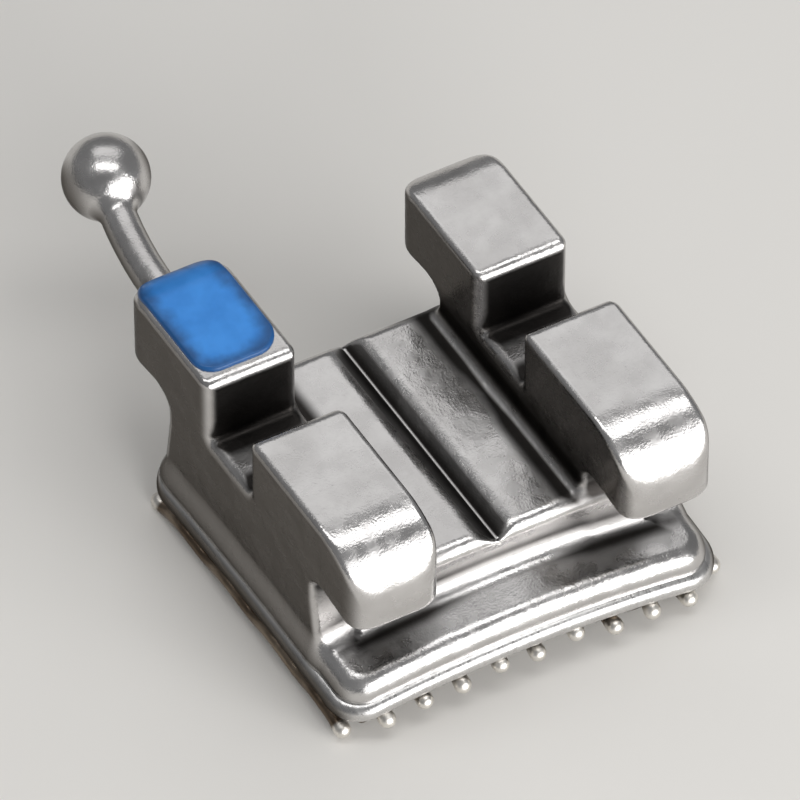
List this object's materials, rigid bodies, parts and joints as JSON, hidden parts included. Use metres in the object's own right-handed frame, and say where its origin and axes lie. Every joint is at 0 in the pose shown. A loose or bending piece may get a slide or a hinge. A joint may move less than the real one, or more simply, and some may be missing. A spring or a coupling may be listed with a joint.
{
  "type": "orthodontic bracket",
  "caption": "Twin metal bracket for an upper canine: tie wings, an archwire slot, a ball hook and a curved mesh bonding pad.",
  "frame": {"origin": "middle of the bonding pad's outline, on the plane that its lowest corners stand on", "axes": "+Z labial, away from the tooth; +Y gingival, the way the hook points; +X mesial, along the archwire slot"},
  "size_m": [0.0036, 0.0048, 0.0023],
  "materials": {
    "moulded_steel": "polished",
    "foil_steel": "satin",
    "mesh_steel": "satin",
    "blue_paint": "gloss"
  },
  "bodies": {
    "root": {"bracket_body": "moulded_steel", "base_foil": "foil_steel", "base_mesh": "mesh_steel", "id_mark": "blue_paint"}
  },
  "joints": []
}
